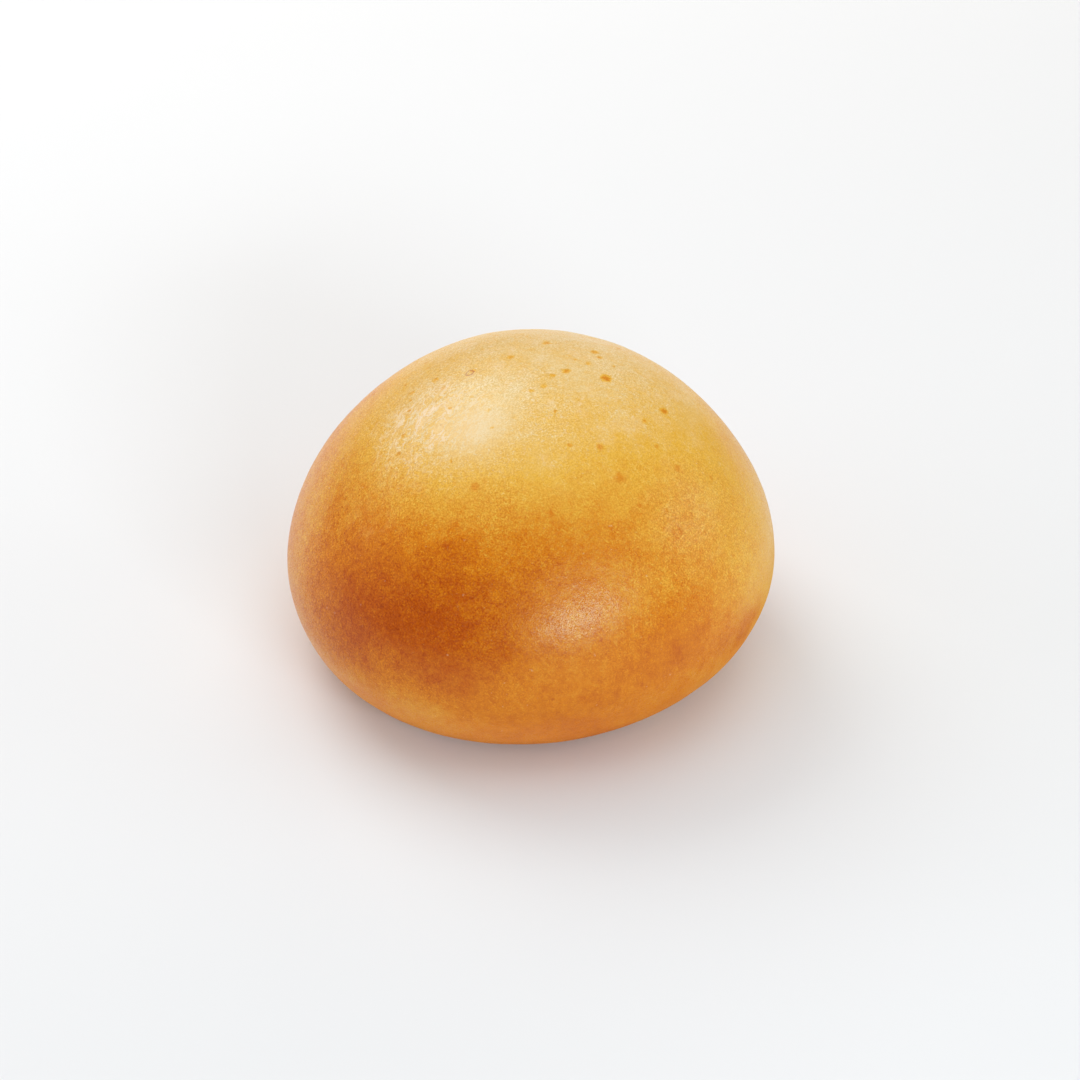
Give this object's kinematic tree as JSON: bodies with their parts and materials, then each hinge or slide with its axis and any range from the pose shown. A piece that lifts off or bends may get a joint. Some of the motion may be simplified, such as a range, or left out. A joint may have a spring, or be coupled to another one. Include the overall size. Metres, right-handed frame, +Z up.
{
  "type": "potato roll",
  "caption": "Round soft potato roll with a smooth golden crust, a high rounded crown and a flat base, eaten as bread or split for a filling.",
  "frame": {"origin": "centre of the box's bottom face, on the flat base the roll rests on", "axes": "+Z up through the crown, -Y towards the front, +X to the right seen from the front"},
  "size_m": [0.0958, 0.0958, 0.0604],
  "materials": {
    "crust": "smooth satin golden crust, brownest low on the front left and palest on the crown"
  },
  "bodies": {
    "root": {"roll": "crust"}
  },
  "joints": []
}
